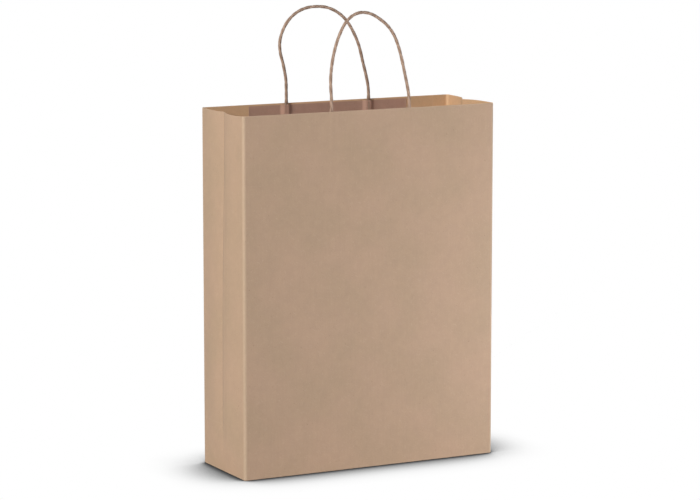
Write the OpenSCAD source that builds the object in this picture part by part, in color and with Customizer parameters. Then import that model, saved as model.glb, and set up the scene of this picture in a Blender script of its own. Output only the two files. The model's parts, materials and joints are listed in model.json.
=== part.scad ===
/* [Bag] */
// Width across the front panel
bag_w = 350; // [260:10:420]
// Depth of the base, front to back
bag_d = 120; // [90:10:150]
// Height of the paper body, base to rim
bag_h = 450; // [380:10:520]
// Thickness of one layer of kraft paper
paper_t = 0.2; // [0.15:0.05:0.3]
// Gap left along each crease so that the panels can fold
crease_gap = 0.1; // [0.05:0.05:0.2]
// How far the sharp lower tips of the gusset pieces are nicked off
tip_nick = 2.5; // [2:0.5:4]

/* [Base] */
// Length that each base flap reaches in from its edge
flap_reach = 72; // [64:2:76]

/* [Seam] */
// Width of the glued side seam tab
seam_w = 18; // [12:1:24]
// Distance of the seam tab from the corner crease
seam_inset = 4; // [4:1:8]

/* [Handle patches] */
// Width of the paper strips that hold a handle
patch_w = 224; // [180:2:240]
// Height of the paper strips
patch_h = 48; // [40:1:60]
// Distance from the rim down to the top edge of the strips
patch_drop = 2; // [1:0.5:6]
// Shift of the strips to the right of the panel's centre
patch_shift = 2; // [-6:1:6]
// Width of the sloping paper on each side of a cord
patch_ramp = 3; // [2:0.5:5]

/* [Handle cords] */
// Diameter of the twisted paper cord
cord_d = 4; // [3.5:0.1:4.5]
// Thickness of the cord where it is pressed between the strips
cord_flat = 2.6; // [2:0.1:3]
// Width of the cord where it is pressed
cord_wide = 5.2; // [4.6:0.2:6]
// Height of the handle pivot above the rim
pivot_rise = 2.4; // [2.3:0.1:3]

/* [Colours] */
// Outer face of the kraft paper
kraft = "#b9a184"; // color
// Base flaps
kraft_base = "#ad9477"; // color
// Paper strips
kraft_patch = "#a1866c"; // color
// Twisted cord
kraft_cord = "#a48a66"; // color

/* [Hidden] */

base_t = 4 * paper_t;                      // the base is four layers of paper
half_w = bag_w / 2;
half_d = bag_d / 2;
in_x = half_w - paper_t;                   // inner face of a gusset
in_y = half_d - paper_t;                   // inner face of a front or back panel
gusset_tip = base_t + in_y;                // height of the gusset's point and of the back panel's cross crease
cord_y = in_y - paper_t - cord_flat / 2;   // centre of a pressed cord
cord_low = bag_h - patch_drop - patch_h + 1;
pivot_z = bag_h + pivot_rise;
loop_z = pivot_z + cord_flat / 2 + 0.3;    // the free loop starts clear of the pressed end

// Where each cord's two ends stand across the panel
front_ends = [-54, 54.2];
back_ends = [-58.3, 58.5];

// Each loop's route seen from the front: across the panel, and up from the rim
front_route = [
    [-54.1, 16], [-55, 30], [-54.9, 44], [-53, 60], [-49, 77.4], [-42.6, 94.4],
    [-34, 108.8], [-24, 117], [-13, 120], [0, 118], [12.6, 111.2], [23.8, 102.2],
    [32.6, 90.6], [38.8, 76.4], [43.4, 61], [47.5, 44], [51.2, 28], [53.4, 16]
];
back_route = [
    [-58.4, 16], [-58.9, 30], [-62.3, 48], [-66.5, 64], [-67.1, 77.4], [-62.9, 91.4],
    [-54.8, 104], [-43, 113.6], [-29.6, 118.7], [-14, 119.9], [0, 118], [13.6, 112],
    [26, 101.8], [36.4, 86.4], [44.4, 69], [50.4, 47], [55.4, 28], [57.8, 16]
];

// Paper plate lying in a plane of constant x, its outline given as [y, z] points
module side_plate(outline) {
    translate([-half_w, 0, 0])
        rotate([90, 0, 90])
            linear_extrude(paper_t)
                polygon(outline);
}

module front_panel() {
    color(kraft)
        translate([-half_w, -half_d, 0])
            cube([bag_w, paper_t, bag_h]);
}

module back_panel() {
    low = gusset_tip + crease_gap / 2;
    color(kraft)
        translate([-half_w, in_y, low])
            cube([bag_w, paper_t, bag_h - low]);
}

// The back panel below its cross crease
module back_foot() {
    color(kraft)
        translate([-half_w, in_y, 0])
            cube([bag_w, paper_t, gusset_tip - crease_gap / 2]);
}

module seam_tab() {
    low = gusset_tip + crease_gap;
    color(kraft)
        translate([in_x - seam_inset - seam_w, in_y - paper_t, low])
            cube([seam_w, paper_t, bag_h - low]);
}

// Front half of a gusset, cut off below by the base gusset's 45 degree crease
module gusset_front() {
    near = -in_y + crease_gap;
    mid = -crease_gap / 2;
    low = near + gusset_tip + crease_gap + tip_nick;
    color(kraft)
        side_plate([
            [near, low], [near + tip_nick, low], [mid, mid + gusset_tip + crease_gap],
            [mid, bag_h], [near, bag_h]
        ]);
}

// Back half of a gusset, above the cross crease
module gusset_back() {
    low = gusset_tip + crease_gap;
    color(kraft)
        side_plate([
            [crease_gap / 2, low], [in_y - crease_gap, low], [in_y - crease_gap, bag_h], [crease_gap / 2, bag_h]
        ]);
}

// Corner of a gusset below the cross crease, hinged on the foot
module foot_corner() {
    far = in_y - crease_gap;
    top = gusset_tip - crease_gap;
    color(kraft)
        side_plate([[far, gusset_tip - far + crease_gap], [far, top], [gusset_tip - top + crease_gap, top]]);
}

// The gusset's triangle that stands on the base's end edge
module base_gusset() {
    low = base_t + crease_gap;
    reach = gusset_tip - low - crease_gap - tip_nick;
    color(kraft)
        side_plate([
            [-reach, low], [reach, low], [reach, low + tip_nick],
            [0, gusset_tip - crease_gap], [-reach, low + tip_nick]
        ]);
}

module to_right() {
    mirror([1, 0, 0])
        children();
}

// End flap: folded in first, so it is the innermost layer of the base
module base_end_flap() {
    color(kraft_base)
        translate([-half_w, -in_y + crease_gap, 3 * paper_t])
            cube([flap_reach, 2 * (in_y - crease_gap), paper_t]);
}

// Long base flap: a trapezoid with its corners turned in at 45 degrees, seen from above for the front edge
module long_flap(low) {
    edge = in_y - crease_gap;
    fold = flap_reach - (half_d - edge);
    translate([0, 0, low])
        linear_extrude(paper_t)
            polygon([
                [-half_w, -edge], [half_w, -edge],
                [half_w - fold, -edge + fold], [-half_w + fold, -edge + fold]
            ]);
}

// The turned-in corner of a long flap, which lies under the end flap
module turned_corner() {
    edge = in_y - crease_gap;
    fold = min(flap_reach, half_d) - (half_d - edge);
    translate([0, 0, 2 * paper_t])
        linear_extrude(paper_t)
            polygon([[-half_w, -edge], [-half_w + fold, -edge], [-half_w + fold, -edge + fold]]);
}

module base_front_flap() {
    color(kraft_base) {
        long_flap(paper_t);
        turned_corner();
        mirror([1, 0, 0])
            turned_corner();
    }
}

// The back flap was folded in last, so it is the layer that the bag stands on
module base_back_flap() {
    color(kraft_base)
        mirror([0, 1, 0])
            long_flap(0);
}

// Strip glued to the panel, under the cord
module patch_outer(side) {
    color(kraft_patch)
        translate([patch_shift - patch_w / 2, side < 0 ? -in_y : in_y - paper_t, bag_h - patch_drop - patch_h])
            cube([patch_w, paper_t, patch_h]);
}

// Outline of the covering strip over one cord, drawn for the front of the bag
function over_cord(x, rise) = [
    [x - cord_wide / 2 - patch_ramp, rise],
    [x - cord_wide / 2 + 0.6, rise + cord_flat],
    [x + cord_wide / 2 - 0.6, rise + cord_flat],
    [x + cord_wide / 2 + patch_ramp, rise]
];

// Covering strip, which is flat between the cords and bulges over them
module patch_inner(ends) {
    left = patch_shift - patch_w / 2;
    right = patch_shift + patch_w / 2;
    under = [for (x = ends) each over_cord(x, 0)];
    over = [for (x = ends) each over_cord(x, paper_t)];
    outline = concat(
        [[left, 0]], under, [[right, 0], [right, paper_t]],
        [for (i = [len(over) - 1:-1:0]) over[i]], [[left, paper_t]]
    );
    color(kraft_patch)
        translate([0, 0, bag_h - patch_drop - patch_h])
            linear_extrude(patch_h)
                translate([0, -in_y + paper_t])
                    polygon(outline);
}

// The two pressed ends of a cord, glued between the strips
module cord_ends(ends) {
    core = cord_wide - cord_flat;
    color(kraft_cord)
        for (x = ends)
            translate([x, -cord_y, cord_low])
                linear_extrude(pivot_z - 0.1 - cord_low) {
                    square([core, cord_flat - 0.02], center = true);
                    for (s = [-1, 1])
                        translate([s * core / 2, 0])
                            circle(d = cord_flat - 0.02, $fn = 24);
                }
}

function unit(v) = v / norm(v);
function ring(p, along, r, sides) =
    let (across = [0, 1, 0], up = unit(cross(along, across)))
    [for (k = [0:sides - 1]) p + r * (cos(360 * k / sides) * across + sin(360 * k / sides) * up)];

// A tube swept along points that all lie in one plane of constant y
module tube(points, d, sides) {
    n = len(points);
    along = [for (i = [0:n - 1]) unit(points[min(i + 1, n - 1)] - points[max(i - 1, 0)])];
    rings = [for (i = [0:n - 1]) each ring(points[i], along[i], d / 2, sides)];
    sides_faces = [
        for (i = [0:n - 2]) for (k = [0:sides - 1])
            let (a = i * sides + k, b = i * sides + (k + 1) % sides)
            each [[a, b, b + sides], [a, b + sides, a + sides]]
    ];
    first = [for (k = [sides - 1:-1:0]) k];
    last = [for (k = [0:sides - 1]) (n - 1) * sides + k];
    polyhedron(rings, concat(sides_faces, [first, last]));
}

module handle_cord(ends, route, side) {
    inner = [for (p = route) [p[0], side * cord_y, bag_h + p[1]]];
    points = concat([[ends[0], side * cord_y, loop_z]], inner, [[ends[1], side * cord_y, loop_z]]);
    color(kraft_cord)
        tube(points, cord_d, 10);
}

front_panel();
back_panel();
back_foot();
seam_tab();
gusset_front();  // left_gusset_front
gusset_back();  // left_gusset_back
to_right() gusset_front();  // right_gusset_front
to_right() gusset_back();  // right_gusset_back
foot_corner();  // left_foot_corner
to_right() foot_corner();  // right_foot_corner
base_gusset();  // left_base_gusset
to_right() base_gusset();  // right_base_gusset
base_end_flap();  // base_left_end_flap
to_right() base_end_flap();  // base_right_end_flap
base_front_flap();
base_back_flap();
patch_outer(-1);  // front_patch_outer
patch_inner(front_ends);  // front_patch_inner
cord_ends(front_ends);  // front_cord_ends
handle_cord(front_ends, front_route, -1);  // front_handle_cord
patch_outer(1);  // back_patch_outer
mirror([0, 1, 0]) patch_inner(back_ends);  // back_patch_inner
mirror([0, 1, 0]) cord_ends(back_ends);  // back_cord_ends
handle_cord(back_ends, back_route, 1);  // back_handle_cord
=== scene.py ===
# A kraft paper gift bag: one folded sheet, two twisted paper cord handles and their glued strips.
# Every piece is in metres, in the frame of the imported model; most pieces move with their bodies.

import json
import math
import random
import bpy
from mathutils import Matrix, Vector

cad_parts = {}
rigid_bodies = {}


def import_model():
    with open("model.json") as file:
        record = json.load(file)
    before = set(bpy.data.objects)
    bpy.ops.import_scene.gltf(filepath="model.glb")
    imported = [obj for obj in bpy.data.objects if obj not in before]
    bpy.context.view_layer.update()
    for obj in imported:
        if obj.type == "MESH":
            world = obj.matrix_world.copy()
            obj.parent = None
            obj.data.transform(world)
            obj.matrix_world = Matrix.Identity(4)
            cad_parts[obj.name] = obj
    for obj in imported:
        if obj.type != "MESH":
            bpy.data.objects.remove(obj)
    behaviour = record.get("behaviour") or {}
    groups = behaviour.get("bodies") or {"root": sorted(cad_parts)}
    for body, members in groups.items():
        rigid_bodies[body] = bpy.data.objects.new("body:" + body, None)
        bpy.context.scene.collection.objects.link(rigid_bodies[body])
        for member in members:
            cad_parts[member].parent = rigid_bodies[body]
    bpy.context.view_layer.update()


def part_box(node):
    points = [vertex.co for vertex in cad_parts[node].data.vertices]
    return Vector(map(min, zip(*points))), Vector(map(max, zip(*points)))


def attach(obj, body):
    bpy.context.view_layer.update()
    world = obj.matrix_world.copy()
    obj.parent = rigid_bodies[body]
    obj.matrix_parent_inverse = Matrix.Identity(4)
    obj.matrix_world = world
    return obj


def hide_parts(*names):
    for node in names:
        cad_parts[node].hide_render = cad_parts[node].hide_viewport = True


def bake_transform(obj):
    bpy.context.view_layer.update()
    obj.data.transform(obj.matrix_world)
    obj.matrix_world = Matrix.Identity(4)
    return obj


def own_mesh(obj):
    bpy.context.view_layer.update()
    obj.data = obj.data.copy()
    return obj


bl_info = {
    "name": "Paper gift bag",
    "version": (1, 0, 0),
    "blender": (4, 5, 0),
    "location": "3D View > Sidebar > Gift bag",
    "description": "Builds a folding kraft paper bag with twisted paper cord handles",
    "category": "Add Mesh",
}

import bmesh
import bpy
import numpy as np
from mathutils import Vector

for leftover in list(bpy.data.objects):
    bpy.data.objects.remove(leftover)
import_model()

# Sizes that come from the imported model
FRONT_LOW, FRONT_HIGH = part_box("front_panel")
FOOT_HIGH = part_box("back_foot")[1]
PATCH_LOW, PATCH_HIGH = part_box("front_patch_outer")
TAB_LOW, TAB_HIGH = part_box("seam_tab")
FLAP_LOW, FLAP_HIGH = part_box("base_left_end_flap")
HALF_WIDTH = FRONT_HIGH.x
HALF_DEPTH = -FRONT_LOW.y
HEIGHT = FRONT_HIGH.z
PAPER = FRONT_HIGH.y - FRONT_LOW.y
CREASE_GAP = 0.0001
CROSS_CREASE = FOOT_HIGH.z + CREASE_GAP / 2
FLAP_REACH = FLAP_HIGH.x - FLAP_LOW.x

# Where each cord leaves the top of the bag: the x of its left and right leg
LEG_X = {"front": (-0.054, 0.0542), "back": (-0.0583, 0.0585)}
CORD_Y = 0.0583

# Heights on a cord: its glued end, the mouth of its strips, where it starts to turn round and how far
# that takes, and where it is free of the strips
CORD_LOW = 0.401
CORD_MOUTH = 0.4485
PRESS_TOP = 0.4488
PRESS_FADE = 0.007
CORD_FREE = 0.456

# The line of each handle above the rim: x, then height over the rim
ROUTES = {
    "front": [
        (-0.0541, 0.016), (-0.055, 0.03), (-0.0549, 0.044), (-0.053, 0.06), (-0.049, 0.0774),
        (-0.0426, 0.0944), (-0.034, 0.1088), (-0.024, 0.117), (-0.013, 0.12), (0, 0.118),
        (0.0126, 0.1112), (0.0238, 0.1022), (0.0326, 0.0906), (0.0388, 0.0764), (0.0434, 0.061),
        (0.0475, 0.044), (0.0512, 0.028), (0.0534, 0.016),
    ],
    "back": [
        (-0.0584, 0.016), (-0.0589, 0.03), (-0.0623, 0.048), (-0.0665, 0.064), (-0.0671, 0.0774),
        (-0.0629, 0.0914), (-0.0548, 0.104), (-0.043, 0.1136), (-0.0296, 0.1187), (-0.014, 0.1199),
        (0, 0.118), (0.0136, 0.112), (0.026, 0.1018), (0.0364, 0.0864), (0.0444, 0.069),
        (0.0504, 0.047), (0.0554, 0.028), (0.0578, 0.016),
    ],
}

# Creases on the flat paper: a point, the direction across, half the width and the wear.
# Wear above 0 is worn pale (on the corner folds also a painted highlight), and below 0 is painted shade.
RIM_CREASE = (0, HEIGHT, 0, 1, 0.0009, 0.8)
FOOT_CREASE = (0, 0.0004, 0, 1, 0.0014, 0.35)

# Gaps between the points of a sheet: in a panel, in a corner fold, over a cord end and in the base
PANEL_GAP = 0.004
FOLD_GAP = 0.006
RIDGE_GAP = 0.0009
BASE_GAP = 0.01

# The camera: its turn and rise round the bag, its distance, its aim, and its lens in mm
CAMERA_TURN = math.radians(-27.41)
CAMERA_RISE = math.radians(8.76)
CAMERA_DISTANCE = 3.803
CAMERA_AIM = Vector((0.0017, 0, 0.2666))
CAMERA_LENS = 155.3

# The lights: name, setting of its power, place, size and tint. All are turned to one point.
WARM = (1.0, 0.985, 0.905)
PLAIN = (0.95, 0.97, 0.98)
LIGHTS = (
    ("key light", "key", (-3.75, -1.4, 1.9), 1.4, WARM),
    ("fill light", "fill", (0.45, -1.6, 2.0), 0.9, PLAIN),
    ("low light", "low", (0.7, -0.45, 0.03), 0.4, PLAIN),
    ("back light", "behind", (1.3, 2.6, 0.85), 1.2, PLAIN),
)
LIGHT_AIM = Vector((0, 0, 0.22))
FLOOR_REACH = 30
FLOOR_DROP = 0.0003


# ---- properties


def length(label, about, value):
    return bpy.props.FloatProperty(
        name=label, description=about, default=value, min=0, unit="LENGTH", precision=5
    )


def share(label, about, value):
    return bpy.props.FloatProperty(name=label, description=about, default=value, min=0)


def colour(label, about, value):
    return bpy.props.FloatVectorProperty(
        name=label, description=about, default=value, size=3, min=0, max=2, subtype="COLOR"
    )


class BagSizes(bpy.types.PropertyGroup):
    paper: length("Paper", "Thickness of the kraft paper", PAPER)
    corner_radius: length("Corner radius", "Rounding of the upright corner folds", 0.0036)
    foot_radius: length("Foot radius", "Rounding of the folds round the base", 0.0012)
    gusset_bow: length("Gusset bow", "How far each half of a side gusset bows out", 0.0034)
    left_push: length("Left crease in", "How far the left centre crease sits in at the rim", 0.0032)
    right_push: length("Right crease in", "How far the right centre crease sits in at the rim", 0.014)
    crease_round: length("Crease rounding", "Rounding of the centre creases", 0.0005)
    rim_dip: length("Rim dip", "How far the rim dips beside the front left corner", 0.0010)
    waviness: share("Waviness", "Slope of the soft waves in the panels", 0.030)
    cord_print: length("Cord print", "How far the glued cord ends show through the panel", 0.00035)
    patch_print: length("Strip print", "How far the glued strips show through the panel", 0.00012)


class CordSizes(bpy.types.PropertyGroup):
    diameter: length("Diameter", "Diameter of the twisted cord", 0.004)
    flat: length("Pressed thickness", "Thickness of the cord between its glued strips", 0.0026)
    wide: length("Pressed width", "Width of the cord between its glued strips", 0.0052)
    pitch: length("Twist", "Length of one full turn of the twist", 0.024)
    groove: share("Groove", "Depth of the groove between the strands, as a share of the radius", 0.15)
    tent: length("Tent", "How far the strip runs from a cord down to the panel", 0.0070)


class BagColours(bpy.types.PropertyGroup):
    kraft_light: colour("Kraft, light", "Lightest tone of the kraft paper", (0.500, 0.345, 0.246))
    kraft_dark: colour("Kraft, dark", "Darkest tone of the kraft paper", (0.430, 0.296, 0.214))
    # Also the colour of the painted highlight on the corner folds
    kraft_worn_and_highlight: colour("Kraft, worn", "Scuffed folds and cut edges", (0.640, 0.490, 0.370))
    kraft_fleck: colour("Flecks", "Dark bark flecks in the paper", (0.235, 0.145, 0.095))
    # Painted light: the inner face of the paper is made lighter than the outer one
    kraft_inside_painted_light: colour("Kraft, inside", "How the inner face of the paper is tinted", (1.50, 1.40, 1.20))
    strip_light: colour("Strip, light", "Lightest tone of the glued handle strips", (0.560, 0.338, 0.266))
    strip_dark: colour("Strip, dark", "Darkest tone of the glued handle strips", (0.470, 0.278, 0.220))
    cord_light: colour("Cord, light", "Raised strands of the twisted cord", (0.500, 0.340, 0.262))
    # Painted shade in the grooves between the strands
    cord_groove_painted_shade: colour("Cord, dark", "Grooves of the twisted cord", (0.150, 0.082, 0.058))


class StageSettings(bpy.types.PropertyGroup):
    floor_tone: share("Floor", "How pale the floor is", 0.86)
    sky: share("Sky", "Strength of the even white light", 0.08)
    key: share("Key light", "Power of the large soft light on the left, in watts", 149.0)
    fill: share("Fill light", "Power of the high soft light in front, in watts", 10.5)
    low: share("Low light", "Power of the low soft light on the right, in watts", 6.3)
    behind: share("Back light", "Power of the soft light behind the bag, in watts", 38.0)
    shadow: length("Shadow reach", "How far the soft shadow at the foot reaches over the floor", 0.090)


def sizes():
    return bpy.context.scene.bag_sizes


def cord_sizes():
    return bpy.context.scene.cord_sizes


def tones():
    return bpy.context.scene.bag_colours


def stage_settings():
    return bpy.context.scene.bag_stage


# ---- shape of the paper


def smooth(x):
    """0 below 0, 1 above 1, and an even ramp between."""
    x = np.clip(x, 0, 1)
    return x * x * (3 - 2 * x)


def waves(x, z, seed, slope):
    """Soft waves of pressed paper, as a sum of a few long ripples."""
    rng = random.Random(seed)
    total = np.zeros_like(x)
    for _ in range(9):
        wave = rng.uniform(0.045, 0.13)
        turn = rng.uniform(0, math.pi)
        start = rng.uniform(0, 2 * math.pi)
        phase = 2 * math.pi * (x * math.cos(turn) + z * math.sin(turn)) / wave
        total = total + wave / (2 * math.pi) * np.sin(phase + start)
    return total * slope / 3


def flat_half():
    """Half the width of a panel between its rounded corners."""
    return HALF_WIDTH - sizes().corner_radius


def panel_out(side, x, z):
    """How far the front (side -1) or back (side 1) panel stands out from its flat plane."""
    size = sizes()
    inside = np.clip(1 - (x / flat_half()) ** 2, 0, 1) ** 0.5
    inside = smooth(inside * 1.6)
    window = inside * smooth(z / 0.06)
    # The glued strips stiffen the top of the panel
    stiff = 1 - 0.55 * smooth((z - 0.385) / 0.03)
    out = waves(x, z, 11 if side < 0 else 23, size.waviness) * window * stiff
    for leg in LEG_X["front" if side < 0 else "back"]:
        ridge = np.exp(-(((x - leg) / 0.0032) ** 2))
        out = out + size.cord_print * ridge * smooth((z - CORD_LOW + 0.001) / 0.004)
    strip = smooth((x - PATCH_LOW.x) / 0.001) * smooth((PATCH_HIGH.x - x) / 0.001)
    out = out + size.patch_print * strip * smooth((z - PATCH_LOW.z) / 0.001)
    return out


def curl(v, radius):
    """A fold at the foot of a sheet: how far it has turned in, and its height."""
    angle = np.clip((radius - v) / radius, 0, math.pi / 2)
    inward = np.where(v < radius, radius * (1 - np.cos(angle)), 0.0)
    height = np.where(v < radius, radius * (1 - np.sin(angle)), v)
    return inward, height


def curl_start():
    """Where a sheet starts below the foot fold, as a length along the paper."""
    return sizes().foot_radius * (1 - math.pi / 2)


def panel_place(side, depth=0.0):
    """Place of a point of the front or back panel; depth is how far a glued layer lies inside it."""

    def place(u, v):
        inward, z = curl(v, sizes().foot_radius)
        out = panel_out(side, u, z)
        y = HALF_DEPTH - sizes().paper / 2 - depth + out - inward
        return np.stack([u, side * y, z], -1)

    return place


def gusset_out(side, y, z):
    """How far a side gusset stands out from its flat plane."""
    size = sizes()
    across = np.clip(np.abs(y) / (HALF_DEPTH - size.corner_radius), 0, 1)
    settle = smooth(z / 0.075)
    bow = size.gusset_bow * across * (1 - across) * (1.6 + 4.0 * (1 - across)) * settle
    blunt = size.crease_round / HALF_DEPTH
    hat = 1 - (np.sqrt(across**2 + blunt**2) - blunt) / (math.sqrt(1 + blunt**2) - blunt)
    if side > 0:
        hat = 0.62 * hat + 0.38 * np.clip(1 - across, 0, 1) ** 5
    if side < 0:
        push = size.left_push * smooth((z - 0.22) / 0.23) - 0.0012 * smooth((0.30 - z) / 0.2) * settle
    else:
        push = size.right_push * np.clip(z / HEIGHT, 0, None) ** 1.5
    ripple = waves(y, z, 31 if side < 0 else 41, size.waviness * 0.8)
    ripple = ripple * smooth((1 - across) * 5) * smooth(across * 5) * settle
    return bow - push * hat + ripple


def gusset_place(side, curled=False):
    """Place of a point of a side gusset, where u is the depth and v the height."""

    def place(u, v):
        inward, z = curl(v, sizes().foot_radius) if curled else (0.0, v)
        x = HALF_WIDTH - sizes().paper / 2 + gusset_out(side, u, z) - inward
        drop = 0.0
        if side < 0:
            across = np.clip(-u / HALF_DEPTH, 0, 1)
            drop = sizes().rim_dip * np.sin(math.pi * across) * smooth((z - 0.42) / 0.03)
        return np.stack([side * x, u, z - drop], -1)

    return place


def corner_place(side_x, side_y):
    """Place of a point of a rounded corner fold: u runs along the arc from the panel to the gusset."""
    radius = sizes().corner_radius
    middle = radius - sizes().paper / 2

    def place(u, v):
        inward, z = curl(v, sizes().foot_radius)
        angle = u / middle
        reach = middle - inward
        x = HALF_WIDTH - radius + reach * np.sin(angle)
        y = HALF_DEPTH - radius + reach * np.cos(angle)
        return np.stack([side_x * x, side_y * y, z], -1)

    return place


def base_place(sign_u, sign_v, z):
    """Place of a point of a flap that lies flat in the base, at height z; the signs mirror it."""

    def place(u, v):
        return np.stack([u * sign_u, v * sign_v, np.full_like(u, z)], -1)

    return place


# ---- sheets of paper


def steps(low, high, gap):
    """Even steps from low to high, about gap apart."""
    count = max(1, round((high - low) / gap))
    return [low + (high - low) * i / count for i in range(count + 1)]


def refined(values, centre, half, gap):
    """The same steps, with closer ones round a centre."""
    kept = [v for v in values if abs(v - centre) > half]
    return sorted(kept + steps(max(centre - half, values[0]), min(centre + half, values[-1]), gap))


def foot_steps():
    """Close steps round the foot fold, from the hidden edge of a sheet upwards."""
    start = curl_start()
    return [start, start / 2, 0, 0.0003, 0.0006, 0.0012]


def panel_across(which):
    """Steps across the front or back panel, closer over its two cord ends."""
    us = steps(-flat_half(), flat_half(), PANEL_GAP)
    for leg in LEG_X[which]:
        us = refined(us, leg, 0.008, RIDGE_GAP)
    return us


def panel_up(low_steps, low):
    """Steps up a panel from low to the rim, closer where the strip behind it begins."""
    return refined(low_steps + steps(low, HEIGHT, PANEL_GAP), PATCH_LOW.z, 0.003, 0.0006)


def slice_sheet(flat, spot, across, drop=False):
    """Cut a flat sheet along a line; drop also takes off what lies on the line's far side."""
    everything = flat.verts[:] + flat.edges[:] + flat.faces[:]
    bmesh.ops.bisect_plane(
        flat, geom=everything, dist=1e-6, plane_co=(*spot, 0), plane_no=(*across, 0), clear_outer=drop
    )


def new_piece(name, points, faces, on_paper, crease, material):
    """A smooth mesh object with its place on the flat paper for each corner, and its creases."""
    mesh = bpy.data.meshes.new(name)
    mesh.from_pydata(points.tolist(), [], faces)
    mesh.update()
    wear = mesh.attributes.new("crease", "FLOAT", "POINT")
    wear.data.foreach_set("value", crease.astype(np.float32))
    paper_map = mesh.uv_layers.new(name="paper")
    paper_map.data.foreach_set("uv", on_paper.astype(np.float32).ravel())
    mesh.polygons.foreach_set("use_smooth", np.ones(len(mesh.polygons), bool))
    mesh.materials.append(material)
    piece = bpy.data.objects.new(name, mesh)
    bpy.context.scene.collection.objects.link(piece)
    return piece


def paper_sheet(name, us, vs, place, material, cuts=(), marks=(), shift=(0, 0)):
    """A sheet of paper with real thickness. It is drawn flat, cut, creased and then put in place.

    cuts are lines (u, v, nu, nv) that drop what lies on their normal's side. marks are creases, and
    shift moves the sheet's place on the roll of paper, so that no two sheets have the same fibres."""
    thickness = sizes().paper
    flat = bmesh.new()
    grid = [[flat.verts.new((u, v, 0)) for v in vs] for u in us]
    for i in range(len(us) - 1):
        for j in range(len(vs) - 1):
            flat.faces.new((grid[i][j], grid[i + 1][j], grid[i + 1][j + 1], grid[i][j + 1]))
    for u, v, nu, nv in cuts:
        slice_sheet(flat, (u, v), (nu, nv), drop=True)
    for u, v, nu, nv, width, _ in marks:
        size = math.hypot(nu, nv)
        for off in (-width, -width / 2, 0, width / 2, width):
            slice_sheet(flat, (u + nu / size * off, v + nv / size * off), (nu, nv))
    bmesh.ops.remove_doubles(flat, verts=flat.verts[:], dist=2e-6)
    flat.verts.index_update()
    co = np.array([v.co[:2] for v in flat.verts])
    count = len(co)
    u, v = co[:, 0], co[:, 1]
    tiny = 2e-5
    middle = place(u, v)
    along_u = place(u + tiny, v) - place(u - tiny, v)
    along_v = place(u, v + tiny) - place(u, v - tiny)
    normal = np.cross(along_u, along_v)
    normal /= np.linalg.norm(normal, axis=1, keepdims=True)
    centre = np.array([0, 0, HEIGHT / 2])
    outward = np.sign(np.sum(normal * (middle - centre), axis=1).sum()) or 1.0
    normal *= outward
    points = np.concatenate([middle + normal * thickness / 2, middle - normal * thickness / 2])
    faces = []
    for face in flat.faces:
        loop = [vert.index for vert in face.verts]
        if outward < 0:
            loop.reverse()
        faces.append(loop)
        faces.append([i + count for i in reversed(loop)])
    sharp = set()
    for edge in flat.edges:
        if len(edge.link_faces) == 1:
            face = edge.link_faces[0]
            loop = [vert.index for vert in face.verts]
            a, b = (vert.index for vert in edge.verts)
            if loop[(loop.index(a) + 1) % len(loop)] != b:
                a, b = b, a
            if outward < 0:
                a, b = b, a
            faces.append([b, a, a + count, b + count])
            sharp.update({frozenset((a, b)), frozenset((a + count, b + count))})
    crease = np.zeros(count)
    for mu, mv, nu, nv, width, strength in marks:
        size = math.hypot(nu, nv)
        off = np.abs((u - mu) * nu + (v - mv) * nv) / size
        crease += strength * np.clip(1 - off / width, 0, 1)
    flat.free()
    on_paper = (np.concatenate([co, co]) + np.array(shift))[np.concatenate(faces)]
    piece = new_piece(name, points, faces, on_paper, np.concatenate([crease, crease]), material)
    inner = piece.data.attributes.new("inside", "FLOAT", "POINT")
    inner.data.foreach_set("value", np.repeat([0.0, 1.0], count).astype(np.float32))
    for edge in piece.data.edges:
        if frozenset(edge.vertices) in sharp:
            edge.use_edge_sharp = True
    return piece


def fit(piece, body, node_name=None):
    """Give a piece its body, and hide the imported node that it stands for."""
    if node_name:
        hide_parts(node_name)
    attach(piece, body)


# ---- shader groups and materials


def group(name, inputs, outputs):
    """A new shader node group with named sockets, and its input and output nodes."""
    tree = bpy.data.node_groups.new(name, "ShaderNodeTree")
    for label, kind, value in inputs:
        socket = tree.interface.new_socket(label, in_out="INPUT", socket_type="NodeSocket" + kind)
        if value is not None:
            socket.default_value = value
    for label, kind in outputs:
        tree.interface.new_socket(label, in_out="OUTPUT", socket_type="NodeSocket" + kind)
    return tree, tree.nodes.new("NodeGroupInput"), tree.nodes.new("NodeGroupOutput")


def node(tree, kind, **settings):
    """A new shader node with its settings."""
    made = tree.nodes.new("ShaderNode" + kind)
    for label, value in settings.items():
        setattr(made, label, value)
    return made


def link(tree, start, end):
    tree.links.new(start, end)


def feed(tree, value, socket):
    """Give an input its value, which is another node's socket or a plain value."""
    if isinstance(value, bpy.types.NodeSocket):
        link(tree, value, socket)
    else:
        socket.default_value = value


def maths(tree, operation, first, second=None, third=None, clamp=False):
    """A Math node whose inputs are sockets or numbers."""
    made = node(tree, "Math", operation=operation, use_clamp=clamp)
    for i, value in enumerate((first, second, third)):
        if value is not None:
            feed(tree, value, made.inputs[i])
    return made.outputs[0]


def ramp(tree, value, low, high, to_low=0.0, to_high=1.0):
    """A smooth step of a value from low..high to to_low..to_high."""
    made = node(tree, "MapRange", interpolation_type="SMOOTHSTEP")
    for i, setting in enumerate((low, high, to_low, to_high)):
        made.inputs[i + 1].default_value = setting
    link(tree, value, made.inputs[0])
    return made.outputs[0]


def noise(tree, place, scale, detail=2.0, rough=0.5, distortion=0.0):
    """A noise over a place, whose scale is a socket or a number."""
    made = node(tree, "TexNoise", noise_dimensions="3D")
    link(tree, place, made.inputs["Vector"])
    feed(tree, scale, made.inputs["Scale"])
    made.inputs["Detail"].default_value = detail
    made.inputs["Roughness"].default_value = rough
    made.inputs["Distortion"].default_value = distortion
    return made.outputs["Fac"]


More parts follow.
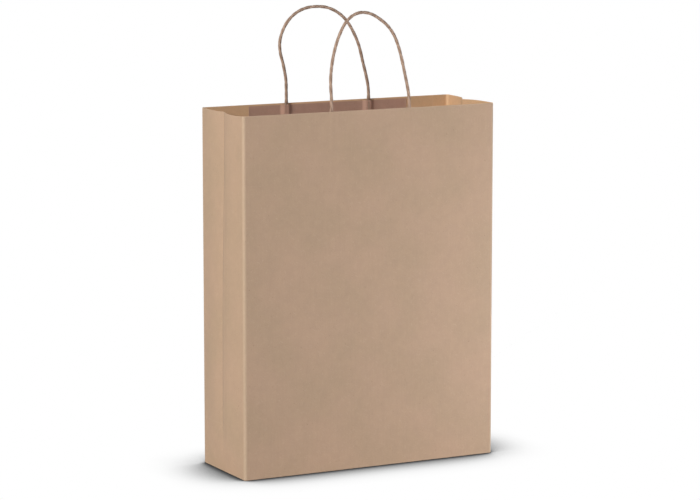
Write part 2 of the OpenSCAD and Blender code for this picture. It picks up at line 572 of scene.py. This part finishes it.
def stretched(tree, place, turn, along, across):
    """The place turned by an angle and scaled, so that a noise becomes streaks."""
    turned = node(tree, "VectorRotate", rotation_type="Z_AXIS")
    link(tree, place, turned.inputs["Vector"])
    turned.inputs["Angle"].default_value = turn
    scaled = node(tree, "VectorMath", operation="MULTIPLY")
    link(tree, turned.outputs[0], scaled.inputs[0])
    scaled.inputs[1].default_value = (along, across, 1)
    return scaled.outputs[0]


def mixed(tree, factor, first, second, mode="MIX"):
    """A colour mix whose colours are sockets or plain colours."""
    made = node(tree, "Mix", data_type="RGBA", blend_type=mode)
    feed(tree, factor, made.inputs[0])
    for i, value in ((6, first), (7, second)):
        feed(tree, value if isinstance(value, bpy.types.NodeSocket) else (*value, 1), made.inputs[i])
    return made.outputs[2]


def laid_over(tree, base, mask, share_of_it, tone):
    """The base colour with a tone laid over it where the mask shows."""
    return mixed(tree, maths(tree, "MULTIPLY", mask, share_of_it), base, tone)


def relief(tree, shader, height, strength, distance):
    """Give a shader a fine relief from a height."""
    bump = node(tree, "Bump")
    bump.inputs["Strength"].default_value = strength
    bump.inputs["Distance"].default_value = distance
    link(tree, height, bump.inputs["Height"])
    link(tree, bump.outputs[0], shader.inputs["Normal"])


def for_camera(tree, seen, unseen, output):
    """Show one shader to the camera, and let another one light the scene."""
    ray = node(tree, "LightPath")
    chosen = node(tree, "MixShader")
    link(tree, ray.outputs["Is Camera Ray"], chosen.inputs[0])
    link(tree, unseen.outputs[0], chosen.inputs[1])
    link(tree, seen.outputs[0], chosen.inputs[2])
    link(tree, chosen.outputs[0], tree.nodes[output].inputs["Surface"])


def clouding_group():
    """Cloudy formation of pulp: soft clouds, and a slow drift from warm to cool."""
    tree, given, made = group(
        "Pulp clouding",
        [("Place", "Vector", None), ("Cloud size", "Float", 0.012), ("Drift size", "Float", 0.07)],
        [("Cloud", "Float"), ("Drift", "Float"), ("Ribs", "Float")],
    )
    cloud_scale = maths(tree, "DIVIDE", 1.0, given.outputs["Cloud size"])
    drift_scale = maths(tree, "DIVIDE", 1.0, given.outputs["Drift size"])
    cloud = noise(tree, given.outputs["Place"], cloud_scale, 3.0, 0.55)
    drift = noise(tree, given.outputs["Place"], drift_scale, 1.5, 0.5)
    ribs = noise(tree, stretched(tree, given.outputs["Place"], 0.0, 1.0, 0.06), 420.0, 2.0, 0.5)
    link(tree, ramp(tree, cloud, 0.28, 0.72), made.inputs["Cloud"])
    link(tree, ramp(tree, drift, 0.32, 0.68), made.inputs["Drift"])
    link(tree, ramp(tree, ribs, 0.3, 0.7), made.inputs["Ribs"])
    return tree


def fibre_group():
    """Fibres of kraft pulp: pale hairs, dark flecks and the height of both."""
    tree, given, made = group(
        "Pulp fibres",
        [("Place", "Vector", None), ("Fleck share", "Float", 0.5)],
        [("Pale", "Float"), ("Fleck", "Float"), ("Height", "Float")],
    )
    place = given.outputs["Place"]
    hairs = None
    for turn, along in ((0.5, 150.0), (-0.75, 190.0), (1.45, 170.0)):
        streak = noise(tree, stretched(tree, place, turn, along, along * 9), 1.0, 2.0, 0.6, 0.6)
        hairs = streak if hairs is None else maths(tree, "MAXIMUM", hairs, streak)
    pale = ramp(tree, hairs, 0.60, 0.74)
    spots = noise(tree, stretched(tree, place, 1.1, 420.0, 900.0), 1.0, 1.0, 0.5, 0.4)
    gate = noise(tree, place, 70.0, 1.0, 0.5)
    cut = maths(tree, "MULTIPLY_ADD", given.outputs["Fleck share"], -0.06, 0.74)
    over = maths(tree, "SUBTRACT", spots, cut)
    fleck = maths(tree, "MULTIPLY", ramp(tree, over, 0.0, 0.03), ramp(tree, gate, 0.40, 0.62))
    grit = noise(tree, place, 2600.0, 2.0, 0.6)
    height = maths(tree, "MULTIPLY_ADD", pale, 0.6, grit)
    link(tree, pale, made.inputs["Pale"])
    link(tree, fleck, made.inputs["Fleck"])
    link(tree, height, made.inputs["Height"])
    return tree


def wear_and_painted_light_group():
    """Broken-up marks from the signed crease value of the mesh: pale wear along folds and cut edges,
    which is also a painted highlight on the corner folds, and painted shade along creases marked below 0.
    """
    tree, given, made = group(
        "Fold wear",
        [("Crease", "Float", 0.0), ("Place", "Vector", None)],
        [("Worn", "Float"), ("Pressed", "Float")],
    )
    broken = noise(tree, stretched(tree, given.outputs["Place"], 0.0, 700.0, 140.0), 1.0, 3.0, 0.6)
    ragged = ramp(tree, broken, 0.25, 0.70, 0.45, 1.0)
    worn = maths(tree, "MAXIMUM", given.outputs["Crease"], 0.0)
    # The dark mark is painted shade along the crease
    pressed = maths(tree, "MAXIMUM", maths(tree, "MULTIPLY", given.outputs["Crease"], -1.0), 0.0)
    link(tree, maths(tree, "MULTIPLY", worn, ragged, clamp=True), made.inputs["Worn"])
    link(tree, maths(tree, "MULTIPLY", pressed, ragged, clamp=True), made.inputs["Pressed"])
    return tree


def place_group(tree, name, maker, **inputs):
    """Place a named group, which is built the first time that it is asked for."""
    made = node(tree, "Group")
    made.node_tree = bpy.data.node_groups.get(name) or maker()
    for label, value in inputs.items():
        feed(tree, value, made.inputs[label.replace("_", " ")])
    return made


def new_material(name):
    """A new material, its node tree and its shader."""
    material = bpy.data.materials.new(name)
    material.use_nodes = True
    return material, material.node_tree, material.node_tree.nodes["Principled BSDF"]


def paper_material(name, light, dark, roughness, drift, inside_painted_light=(1, 1, 1)):
    """Kraft paper in two tones, with pulp clouds, fibres, flecks, worn folds, painted light and a fine
    relief.
    """
    made = bpy.data.materials.get(name)
    if made:
        return made
    worn = tones().kraft_worn_and_highlight
    material, tree, shader = new_material(name)
    on_paper = node(tree, "UVMap", uv_map="paper").outputs[0]
    crease = node(tree, "Attribute", attribute_name="crease").outputs["Fac"]
    clouds = place_group(tree, "Pulp clouding", clouding_group, Place=on_paper)
    fibres = place_group(tree, "Pulp fibres", fibre_group, Place=on_paper)
    folds = place_group(tree, "Fold wear", wear_and_painted_light_group, Crease=crease, Place=on_paper)
    tone = maths(tree, "MULTIPLY_ADD", clouds.outputs["Ribs"], 0.18, 0.0)
    tone = maths(tree, "MULTIPLY_ADD", clouds.outputs["Cloud"], 0.42, tone)
    tone = maths(tree, "MULTIPLY_ADD", clouds.outputs["Drift"], 0.40, tone, clamp=True)
    base = mixed(tree, tone, dark, light)
    rosy = tuple(min(1.0, c * f) for c, f in zip(light, (1.03, 0.965, 0.985)))
    green = tuple(c * f for c, f in zip(light, (0.955, 0.995, 0.92)))
    tint = mixed(tree, clouds.outputs["Drift"], green, rosy)
    base = mixed(tree, drift * 0.5, base, tint)
    base = laid_over(tree, base, fibres.outputs["Pale"], 0.30, worn)
    base = laid_over(tree, base, fibres.outputs["Fleck"], 0.55, tones().kraft_fleck)
    # Worn folds and cut edges turn pale; on the corner folds this is also a painted highlight
    base = laid_over(tree, base, folds.outputs["Worn"], 0.75, worn)
    # Painted light: the inner face is made lighter by the inside tint
    inside = node(tree, "Attribute", attribute_name="inside").outputs["Fac"]
    base = mixed(tree, inside, base, mixed(tree, 1.0, base, inside_painted_light, "MULTIPLY"))
    # Painted shade: creases marked below 0 are darkened
    base = laid_over(tree, base, folds.outputs["Pressed"], 0.6, tuple(c * 0.62 for c in dark))
    link(tree, base, shader.inputs["Base Color"])
    rough = maths(tree, "MULTIPLY_ADD", clouds.outputs["Cloud"], 0.10, roughness - 0.05)
    rough = maths(tree, "MULTIPLY_ADD", folds.outputs["Worn"], 0.10, rough)
    link(tree, rough, shader.inputs["Roughness"])
    height = maths(tree, "MULTIPLY_ADD", folds.outputs["Pressed"], -2.5, fibres.outputs["Height"])
    height = maths(tree, "MULTIPLY_ADD", clouds.outputs["Cloud"], 0.8, height)
    relief(tree, shader, height, 0.35, 0.00006)
    shader.inputs["Specular IOR Level"].default_value = 0.28
    shader.inputs["Sheen Weight"].default_value = 0.06
    shader.inputs["Sheen Roughness"].default_value = 0.6
    return material


def kraft():
    tone = tones()
    return paper_material(
        "kraft paper", tone.kraft_light, tone.kraft_dark, 0.78, 0.5, tuple(tone.kraft_inside_painted_light)
    )


def strip_paper():
    return paper_material("handle strip paper", tones().strip_light, tones().strip_dark, 0.82, 0.25)


def floor_with_painted_shadow():
    """A pale floor; the camera sees it glowing white, with a painted short soft shadow where something
    stands on it.
    """
    settings = stage_settings()
    material, tree, shader = new_material("pale floor")
    shader.inputs["Base Color"].default_value = (settings.floor_tone,) * 3 + (1,)
    shader.inputs["Roughness"].default_value = 0.9
    shader.inputs["Specular IOR Level"].default_value = 0.1
    # Painted shadow: the floor is darkened where ambient occlusion finds something close
    shade = node(tree, "AmbientOcclusion", samples=16)
    shade.inputs["Distance"].default_value = settings.shadow
    painted_floor_light = ramp(tree, shade.outputs["AO"], 0.40, 1.0, 0.10, 1.0)
    # Painted shadow: weaker in front of the bag, since the strongest lights stand in front, so the shadow
    # lies at the sides and behind
    place = node(tree, "SeparateXYZ")
    link(tree, node(tree, "TexCoord").outputs["Object"], place.inputs[0])
    behind = ramp(tree, place.outputs["Y"], -0.115, -0.055, 0.45, 1.0)
    dark = maths(tree, "MULTIPLY", behind, maths(tree, "SUBTRACT", 1.0, painted_floor_light))
    painted_floor_light = maths(tree, "SUBTRACT", 1.0, dark)
    # Painted shadow: a second, shorter one darkens the floor right at the foot
    painted_contact_shadow = node(tree, "AmbientOcclusion", samples=16)
    painted_contact_shadow.inputs["Distance"].default_value = settings.shadow * 0.16
    painted_floor_light = maths(tree, "MULTIPLY", painted_floor_light, ramp(tree, painted_contact_shadow.outputs["AO"], 0.45, 0.95, 0.30, 1.0))
    # The camera sees the floor glowing white, darkened where the painted shadow lies
    white = node(tree, "Emission")
    link(tree, mixed(tree, painted_floor_light, (0.0, 0.0, 0.0), (1.0, 1.0, 1.0)), white.inputs["Color"])
    for_camera(tree, white, shader, "Material Output")
    return material


def cord_material():
    """Twisted paper cord: pale raised strands, painted shade in the grooves, pleats along the lay and
    fibres.
    """
    made = bpy.data.materials.get("twisted paper cord")
    if made:
        return made
    tone = tones()
    material, tree, shader = new_material("twisted paper cord")
    on_paper = node(tree, "UVMap", uv_map="paper").outputs[0]
    groove = node(tree, "Attribute", attribute_name="crease").outputs["Fac"]
    clouds = place_group(
        tree, "Pulp clouding", clouding_group, Place=on_paper, Cloud_size=0.006, Drift_size=0.016
    )
    fibres = place_group(tree, "Pulp fibres", fibre_group, Place=on_paper, Fleck_share=0.8)
    pleats = noise(tree, stretched(tree, on_paper, 0.0, 90.0, 2400.0), 1.0, 3.0, 0.6, 0.8)
    pleat = ramp(tree, pleats, 0.42, 0.62)
    depth = maths(tree, "MULTIPLY", groove, -1.0, clamp=True)
    pleat_tone = maths(tree, "MULTIPLY", pleat, 0.25)
    tone_share = maths(tree, "MULTIPLY_ADD", clouds.outputs["Drift"], 0.45, pleat_tone)
    base = mixed(tree, tone_share, tone.cord_light, tuple(c * 0.66 for c in tone.cord_light))
    base = laid_over(tree, base, fibres.outputs["Pale"], 0.25, tone.kraft_worn_and_highlight)
    # Painted shade: the grooves between the strands are darkened
    base = laid_over(tree, base, depth, 0.6, tone.cord_groove_painted_shade)
    base = laid_over(tree, base, fibres.outputs["Fleck"], 0.5, tone.kraft_fleck)
    link(tree, base, shader.inputs["Base Color"])
    link(tree, maths(tree, "MULTIPLY_ADD", pleat, 0.12, 0.62), shader.inputs["Roughness"])
    height = maths(tree, "MULTIPLY_ADD", pleat, -0.9, fibres.outputs["Height"])
    relief(tree, shader, height, 0.5, 0.00012)
    shader.inputs["Specular IOR Level"].default_value = 0.32
    return material


# ---- twisted cords


def between(first, second, low, high, t):
    """The line from first to second, where t runs from low to high."""
    return (high - t) / (high - low) * first + (t - low) / (high - low) * second


def spline_through(points, gap):
    """A smooth line through the points, with even steps of about gap."""
    p = np.array(points, float)
    p = np.vstack([2 * p[0] - p[1], p, 2 * p[-1] - p[-2]])
    fine = []
    for i in range(1, len(p) - 2):
        knots = [0.0]
        for j in range(3):
            knots.append(knots[-1] + max(np.linalg.norm(p[i + j] - p[i + j - 1]), 1e-6) ** 0.5)
        t = np.linspace(knots[1], knots[2], 24, endpoint=False)[:, None]
        a = [between(p[i - 1 + k], p[i + k], knots[k], knots[k + 1], t) for k in range(3)]
        b = [between(a[k], a[k + 1], knots[k], knots[k + 2], t) for k in range(2)]
        fine.append(between(b[0], b[1], knots[1], knots[2], t))
    fine = np.vstack([*fine, p[-2][None]])
    run = np.concatenate([[0], np.cumsum(np.linalg.norm(np.diff(fine, axis=0), axis=1))])
    count = max(8, round(run[-1] / gap))
    even = np.linspace(0, run[-1], count + 1)
    return np.stack([np.interp(even, run, fine[:, k]) for k in range(3)], 1), even


def cord_mesh(name, line, run, press, turn_start, seed):
    """A cord of two twisted strands round a line. press is how flat each ring is, from 0 to 1,
    in the y direction; a little unevenness comes from the seed."""
    size = cord_sizes()
    rng = random.Random(seed)
    around = 28
    tangent = np.gradient(line, axis=0)
    tangent /= np.linalg.norm(tangent, axis=1, keepdims=True)
    depth = np.tile([0.0, 1.0, 0.0], (len(line), 1))
    depth -= tangent * np.sum(depth * tangent, axis=1, keepdims=True)
    depth /= np.linalg.norm(depth, axis=1, keepdims=True)
    wide = np.cross(tangent, depth)
    uneven = np.zeros(len(line))
    swell = np.zeros(len(line))
    for _ in range(7):
        wave = rng.uniform(0.018, 0.07)
        start = rng.uniform(0, 2 * math.pi)
        uneven += rng.uniform(0.1, 0.3) * np.sin(2 * math.pi * run / wave + start)
        swell += rng.uniform(0.004, 0.014) * np.sin(2 * math.pi * run / (wave * 0.5) + start)
    lay = 2 * math.pi * run / size.pitch + turn_start + uneven
    angle = np.linspace(0, 2 * math.pi, around, endpoint=False)
    points, crease = [], []
    for i in range(len(line)):
        strand = np.abs(np.cos(angle - lay[i]))
        groove = (1 - strand) ** 1.6
        radius = size.diameter / 2 * (1 + swell[i]) * (1 - size.groove * groove)
        half_wide = 1 + press[i] * (size.wide / size.diameter - 1)
        half_flat = 1 + press[i] * (size.flat / size.diameter - 1)
        ring = line[i] + wide[i] * (radius * np.cos(angle) * half_wide)[:, None]
        points.append(ring + depth[i] * (radius * np.sin(angle) * half_flat)[:, None])
        # The crease value carries the groove depth, below 0, for the painted shade in the grooves
        crease.append(-groove)
    points = np.concatenate(points)
    crease = np.concatenate(crease)
    faces, places = [], []
    girth = math.pi * size.diameter
    for i in range(len(line) - 1):
        for j in range(around):
            k = (j + 1) % around
            faces.append([i * around + j, i * around + k, (i + 1) * around + k, (i + 1) * around + j])
            for ring_at, spot in ((i, j), (i, j + 1), (i + 1, j + 1), (i + 1, j)):
                spun = (spot / around - lay[ring_at] / (2 * math.pi)) * girth
                places.append((run[ring_at], spun))
    last = (len(line) - 1) * around
    faces.append(list(range(around - 1, -1, -1)))
    faces.append([last + j for j in range(around)])
    for end in (0, len(line) - 1):
        for j in range(around):
            places.append((run[end], j / around * girth))
    return new_piece(name, points, faces, np.array(places), crease, cord_material())


# ---- operators


class GIFTBAG_OT_stage(bpy.types.Operator):
    """Add the camera, the pale floor and the soft lights"""

    bl_idname = "gift_bag.add_stage"
    bl_label = "Add stage"

    def execute(self, context):
        scene = context.scene
        settings = stage_settings()
        scene.view_settings.view_transform = "Standard"
        level = math.cos(CAMERA_RISE)
        across, along = math.sin(CAMERA_TURN) * level, -math.cos(CAMERA_TURN) * level
        back = Vector((across, along, math.sin(CAMERA_RISE)))
        camera_data = bpy.data.cameras.new("camera")
        camera_data.lens = CAMERA_LENS
        camera_data.sensor_width = 36
        camera_data.clip_end = 100
        camera = bpy.data.objects.new("camera", camera_data)
        camera.location = CAMERA_AIM + back * CAMERA_DISTANCE
        camera.rotation_euler = (-back).to_track_quat("-Z", "Y").to_euler()
        scene.collection.objects.link(camera)
        scene.camera = camera

        floor_mesh = bpy.data.meshes.new("floor")
        signs = ((-1, -1), (1, -1), (1, 1), (-1, 1))
        corners = [(x * FLOOR_REACH, y * FLOOR_REACH, 0) for x, y in signs]
        floor_mesh.from_pydata(corners, [], [(0, 1, 2, 3)])
        floor = bpy.data.objects.new("floor", floor_mesh)
        floor.location.z = -FLOOR_DROP
        floor_mesh.materials.append(floor_with_painted_shadow())
        scene.collection.objects.link(floor)

        world = bpy.data.worlds.new("soft white")
        world.use_nodes = True
        tree = world.node_tree
        sky = tree.nodes["Background"]
        seen = node(tree, "Background")
        for glow, strength in ((sky, settings.sky), (seen, 1.0)):
            glow.inputs["Color"].default_value = (1, 1, 1, 1)
            glow.inputs["Strength"].default_value = strength
        for_camera(tree, seen, sky, "World Output")
        scene.world = world

        for name, power, spot, size, tint in LIGHTS:
            light_data = bpy.data.lights.new(name, "AREA")
            light_data.shape = "SQUARE"
            light_data.size = size
            light_data.energy = getattr(settings, power)
            light_data.color = tint
            light = bpy.data.objects.new(name, light_data)
            light.location = spot
            light.rotation_euler = (LIGHT_AIM - Vector(spot)).to_track_quat("-Z", "Y").to_euler()
            scene.collection.objects.link(light)
        return {"FINISHED"}


class GIFTBAG_OT_handle_cords(bpy.types.Operator):
    """Add the two twisted paper cord handles and their pressed ends"""

    bl_idname = "gift_bag.add_handle_cords"
    bl_label = "Add handle cords"

    def execute(self, context):
        for which, side in (("front", -1), ("back", 1)):
            left, right = LEG_X[which]
            y = side * CORD_Y
            middle = [(x, y, HEIGHT + up) for x, up in ROUTES[which]]
            rise = [(left, y, CORD_MOUTH), (left, y, CORD_FREE)]
            fall = [(right, y, CORD_FREE), (right, y, CORD_MOUTH)]
            line, run = spline_through([*rise, *middle, *fall], 0.0009)
            press = 1 - smooth((line[:, 2] - PRESS_TOP) / PRESS_FADE)
            loop = cord_mesh(f"{which}_handle_cord_loop", line, run, press, 0.7 * side, 5 + side)
            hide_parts(f"{which}_handle_cord")
            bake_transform(loop)
            for label, leg in (("left", left), ("right", right)):
                stub = [(leg, y, CORD_LOW), (leg, y, 0.42), (leg, y, 0.44), (leg, y, CORD_MOUTH)]
                down, along = spline_through(stub, 0.0012)
                end = cord_mesh(f"{which}_cord_end_{label}", down, along, np.ones(len(down)), 0.4, 9)
                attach(end, which)
                if label == "left":
                    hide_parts(f"{which}_cord_ends")
        return {"FINISHED"}


class GIFTBAG_OT_front_sheet(bpy.types.Operator):
    """Add the front panel of the bag"""

    bl_idname = "gift_bag.add_front_sheet"
    bl_label = "Add front panel"

    def execute(self, context):
        us = panel_across("front")
        vs = panel_up([*foot_steps(), 0.003], 0.006)
        marks = [RIM_CREASE, FOOT_CREASE]
        front = paper_sheet("front_panel_sheet", us, vs, panel_place(-1), kraft(), marks=marks)
        fit(front, "front", "front_panel")
        return {"FINISHED"}


class GIFTBAG_OT_back_sheet(bpy.types.Operator):
    """Add the back panel, the foot below its cross crease and the glued seam tab"""

    bl_idname = "gift_bag.add_back_sheet"
    bl_label = "Add back panel"

    def execute(self, context):
        us = panel_across("back")
        place = panel_place(1)
        fold = (0, CROSS_CREASE, 0, 1, 0.0009, 0.35)
        shift = (0.53, 0)
        vs = panel_up([], CROSS_CREASE)
        back = paper_sheet("back_panel_sheet", us, vs, place, kraft(), (), [RIM_CREASE, fold], shift)
        fit(back, "back", "back_panel")
        vs = [*foot_steps(), 0.003, *steps(0.006, CROSS_CREASE, PANEL_GAP)]
        foot = paper_sheet("back_foot_sheet", us, vs, place, kraft(), (), [FOOT_CREASE, fold], shift)
        fit(foot, "foot", "back_foot")
        us = steps(TAB_LOW.x, TAB_HIGH.x, 0.003)
        vs = steps(CROSS_CREASE + CREASE_GAP, HEIGHT, FOLD_GAP)
        marks = [(TAB_LOW.x, 0, 1, 0, 0.0008, 0.7), RIM_CREASE]
        place = panel_place(1, sizes().paper)
        tab = paper_sheet("seam_tab_strip", us, vs, place, kraft(), marks=marks, shift=(0.9, 0))
        fit(tab, "back", "seam_tab")
        return {"FINISHED"}


class GIFTBAG_OT_gussets(bpy.types.Operator):
    """Add the two side gussets, each as two halves, a foot corner and a triangle of the base"""

    bl_idname = "gift_bag.add_gussets"
    bl_label = "Add side gussets"

    def execute(self, context):
        edge = HALF_DEPTH - sizes().corner_radius
        front_slope = (0, CROSS_CREASE, -1, 1, 0.0008, 0.22)
        back_slope = (0, CROSS_CREASE, 1, 1, 0.0008, 0.22)
        cross = (0, CROSS_CREASE, 0, 1, 0.0008, 0.22)
        across = refined(steps(0, edge, 0.003), 0, 0.0035, 0.0007)
        below = [-u for u in reversed(across)]
        low_across = [-edge, *below[1:-1], *across[:-1], edge]
        low_up = foot_steps() + steps(0.004, CROSS_CREASE, 0.0035)
        tip = 0.0006
        for word, side in (("left", -1), ("right", 1)):
            place = gusset_place(side)
            low_place = gusset_place(side, curled=True)
            shift = (side * 0.25 + 0.1, 0)
            # Painted shade: the centre creases are marked below 0, so they are darkened, more on the
            # right
            centre = (0, 0, 1, 0, 0.0008, -0.5) if side < 0 else (0, 0, 1, 0, 0.0020, -0.7)
            pieces = (
                (
                    "gusset_front", below, steps(0, HEIGHT, 0.0045), place,
                    [(0, CROSS_CREASE, 1, -1)], [RIM_CREASE, centre, front_slope],
                ),
                (
                    "gusset_back", across, steps(CROSS_CREASE, HEIGHT, 0.0045), place,
                    [], [RIM_CREASE, centre, cross],
                ),
                (
                    "foot_corner", [tip, *across[1:]], steps(0, CROSS_CREASE, 0.0035), place,
                    [(0, CROSS_CREASE, -1, -1)], [cross, back_slope],
                ),
                (
                    "base_gusset", low_across, low_up, low_place,
                    [(0, CROSS_CREASE, 1, 1), (0, CROSS_CREASE, -1, 1)],
                    [FOOT_CREASE, front_slope, back_slope],
                ),
            )
            for part, us, vs, put, cuts, marks in pieces:
                name = f"{word}_{part}"
                made = paper_sheet(f"{name}_sheet", us, vs, put, kraft(), cuts, marks, shift)
                fit(made, name, name)
                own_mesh(made)
        return {"FINISHED"}


class GIFTBAG_OT_corner_folds(bpy.types.Operator):
    """Add the rounded folds that join the panels to the gussets"""

    bl_idname = "gift_bag.add_corner_folds"
    bl_label = "Add corner folds"

    def execute(self, context):
        radius = sizes().corner_radius
        arc = (radius - sizes().paper / 2) * math.pi / 2
        us = steps(0, arc, arc / 10)
        low = [*foot_steps(), 0.003]
        tall = low + steps(0.006, HEIGHT, FOLD_GAP)
        short = low + steps(0.006, CROSS_CREASE, FOLD_GAP)
        upper = steps(CROSS_CREASE, HEIGHT, FOLD_GAP)
        # Worn pale across most of each corner fold's arc, which also paints a highlight on the rounded
        # corner
        spine_wear_and_highlight = (arc / 2, 0, 1, 0, arc * 0.75, 0.8)
        folds = (
            ("left_front_fold", -1, -1, tall, "front", "left_gusset_front"),
            ("right_front_fold", 1, -1, tall, "front", "right_gusset_front"),
            ("left_back_fold", -1, 1, upper, "back", "left_gusset_back"),
            ("right_back_fold", 1, 1, upper, "back", None),
            ("left_foot_fold", -1, 1, short, "foot", "left_foot_corner"),
            ("right_foot_fold", 1, 1, short, "foot", "right_foot_corner"),
        )
        for name, side_x, side_y, vs, first, second in folds:
            shift = (0.3 + 0.2 * side_x + 0.05 * side_y, 0)
            marks = [spine_wear_and_highlight] if vs is short else [RIM_CREASE, spine_wear_and_highlight]
            place = corner_place(side_x, side_y)
            made = paper_sheet(name, us, vs, place, kraft(), marks=marks, shift=shift)
            if second is None:
                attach(made, first)
                continue
            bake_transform(made)
        return {"FINISHED"}


class GIFTBAG_OT_base_flaps(bpy.types.Operator):
    """Add the four flaps of the flat base and its turned corners"""

    bl_idname = "gift_bag.add_base_flaps"
    bl_label = "Add base flaps"

    def execute(self, context):
        thick = sizes().paper
        room = sizes().foot_radius + 0.0001
        wide = HALF_WIDTH - room
        deep = HALF_DEPTH - room
        inner = -HALF_DEPTH + FLAP_REACH
        raw = 0.0007
        left_slope = (-HALF_WIDTH, -HALF_DEPTH, -1, 1)
        right_slope = (HALF_WIDTH, -HALF_DEPTH, 1, 1)
        us = steps(-wide, wide, BASE_GAP)
        vs = steps(-deep, inner, BASE_GAP)
        cuts = [left_slope, right_slope]
        marks = [(0, inner, 0, 1, raw, 0.6), (*left_slope, raw, 0.5), (*right_slope, raw, 0.5)]
        for word, layer, sign in (("front", 1.5, 1), ("back", 0.5, -1)):
            place = base_place(sign, sign, thick * layer)
            shift = (2.0 + sign, 0.5)
            made = paper_sheet(f"base_{word}_flap_sheet", us, vs, place, kraft(), cuts, marks, shift)
            fit(made, "base", f"base_{word}_flap")
        fold = min(FLAP_REACH - 0.0003, HALF_DEPTH)
        for word, side in (("left", -1), ("right", 1)):
            us = steps(-wide, -HALF_WIDTH + fold, BASE_GAP)
            vs = steps(-deep, -HALF_DEPTH + fold, BASE_GAP)
            place = base_place(-side, 1, thick * 2.5)
            marks = [(-HALF_WIDTH + fold, 0, 1, 0, raw, 0.6)]
            name = f"base_{word}_turned_corner"
            made = paper_sheet(name, us, vs, place, kraft(), [left_slope], marks, (3.5 + side, 0))
            fit(made, "base")
            us = steps(-wide, -HALF_WIDTH + FLAP_REACH, BASE_GAP)
            vs = steps(-deep, deep, BASE_GAP)
            place = base_place(-side, 1, thick * 3.5)
            marks = [(-HALF_WIDTH + FLAP_REACH, 0, 1, 0, raw, 0.6)]
            name = f"base_{word}_end_flap"
            made = paper_sheet(f"{name}_sheet", us, vs, place, kraft(), (), marks, (5.5 + side, 0))
            fit(made, "base", name)
        return {"FINISHED"}


class GIFTBAG_OT_handle_strips(bpy.types.Operator):
    """Add the paper strips that glue the cord ends to the panels"""

    bl_idname = "gift_bag.add_handle_strips"
    bl_label = "Add handle strips"

    def execute(self, context):
        thick = sizes().paper
        size = cord_sizes()
        edge = (0.0008, 0.5)
        marks = [
            (0, PATCH_HIGH.z, 0, 1, *edge),
            (0, PATCH_LOW.z, 0, 1, *edge),
            (PATCH_LOW.x, 0, 1, 0, *edge),
            (PATCH_HIGH.x, 0, 1, 0, *edge),
        ]
        vs = refined(steps(PATCH_LOW.z, PATCH_HIGH.z, 0.003), CORD_LOW, 0.004, 0.0008)
        for which, side in (("front", -1), ("back", 1)):
            legs = LEG_X[which]
            us = steps(PATCH_LOW.x, PATCH_HIGH.x, 0.004)
            for leg in legs:
                us = refined(us, leg, 0.012, 0.0008)
            place = panel_place(side, thick)
            shift = (7 + side, 0)
            outer = paper_sheet(f"{which}_outer_strip", us, vs, place, strip_paper(), (), marks, shift)

            def tented(u, v, side=side, legs=legs):
                lift = np.zeros_like(u)
                for leg in legs:
                    off = np.abs(u - leg) - size.wide * 0.34
                    lift = np.maximum(lift, smooth(1 - off / size.tent))
                lift = lift * smooth((v - PATCH_LOW.z + 0.0005) / 0.0045)
                depth = 2 * thick + lift * (size.flat + 0.00025)
                y = HALF_DEPTH - thick / 2 - depth + panel_out(side, u, v)
                return np.stack([u, side * y, v], -1)

            shift = (9 + side, 0)
            inner = paper_sheet(f"{which}_inner_strip", us, vs, tented, strip_paper(), (), marks, shift)
            fit(outer, which, f"{which}_patch_outer")
            fit(inner, which, f"{which}_patch_inner")
        return {"FINISHED"}


# ---- panel and run


BUILD_ORDER = (
    GIFTBAG_OT_stage,
    GIFTBAG_OT_handle_cords,
    GIFTBAG_OT_front_sheet,
    GIFTBAG_OT_back_sheet,
    GIFTBAG_OT_gussets,
    GIFTBAG_OT_corner_folds,
    GIFTBAG_OT_base_flaps,
    GIFTBAG_OT_handle_strips,
)
SETTINGS = (
    ("bag_sizes", BagSizes),
    ("cord_sizes", CordSizes),
    ("bag_colours", BagColours),
    ("bag_stage", StageSettings),
)


class GIFTBAG_PT_panel(bpy.types.Panel):
    """Sizes, colours and build steps of the gift bag"""

    bl_idname = "GIFTBAG_PT_panel"
    bl_label = "Gift bag"
    bl_space_type = "VIEW_3D"
    bl_region_type = "UI"
    bl_category = "Gift bag"

    def draw(self, context):
        layout = self.layout
        for name, kind in SETTINGS:
            column = layout.column(align=True)
            for label in kind.__annotations__:
                column.prop(getattr(context.scene, name), label)
        column = layout.column(align=True)
        for step in BUILD_ORDER:
            column.operator(step.bl_idname)


def register():
    for name, kind in SETTINGS:
        bpy.utils.register_class(kind)
        setattr(bpy.types.Scene, name, bpy.props.PointerProperty(type=kind))
    for kind in (*BUILD_ORDER, GIFTBAG_PT_panel):
        bpy.utils.register_class(kind)


def unregister():
    for kind in (GIFTBAG_PT_panel, *reversed(BUILD_ORDER)):
        bpy.utils.unregister_class(kind)
    for name, kind in reversed(SETTINGS):
        delattr(bpy.types.Scene, name)
        bpy.utils.unregister_class(kind)


def main():
    register()
    for step in BUILD_ORDER:
        family, action = step.bl_idname.split(".")
        getattr(getattr(bpy.ops, family), action)()


if __name__ == "__main__":
    main()
